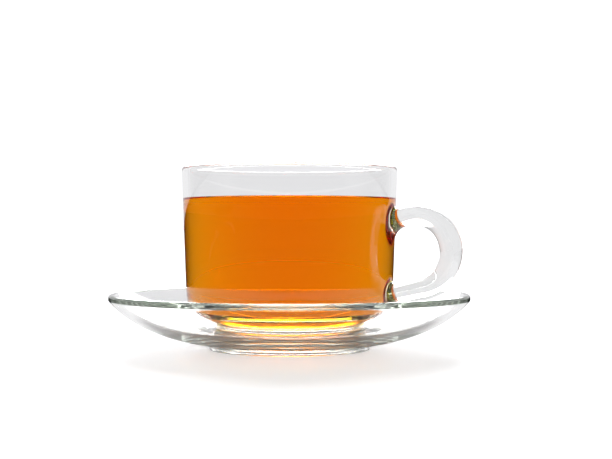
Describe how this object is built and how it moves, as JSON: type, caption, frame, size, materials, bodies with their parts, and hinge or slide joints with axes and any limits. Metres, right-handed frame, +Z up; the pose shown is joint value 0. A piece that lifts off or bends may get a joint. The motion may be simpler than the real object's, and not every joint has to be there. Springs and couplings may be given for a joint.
{
  "type": "glass cup of tea",
  "caption": "Straight-sided clear glass cup with a round glass handle, filled with amber tea, standing on a shallow clear glass saucer.",
  "frame": {"origin": "the point where the saucer's axis meets the table, at the bottom of its foot ring", "axes": "+Z up along the axis of the cup and saucer, +X towards the handle"},
  "size_m": [0.14, 0.14, 0.0708],
  "materials": {
    "cup_glass": "clear pressed soda-lime glass, fire polished",
    "saucer_glass": "clear pressed soda-lime glass, very slightly green at its edges",
    "tea": "clear black tea, amber orange, without milk"
  },
  "bodies": {
    "root": {"cup": "cup_glass", "saucer": "saucer_glass", "tea": "tea"}
  },
  "joints": []
}
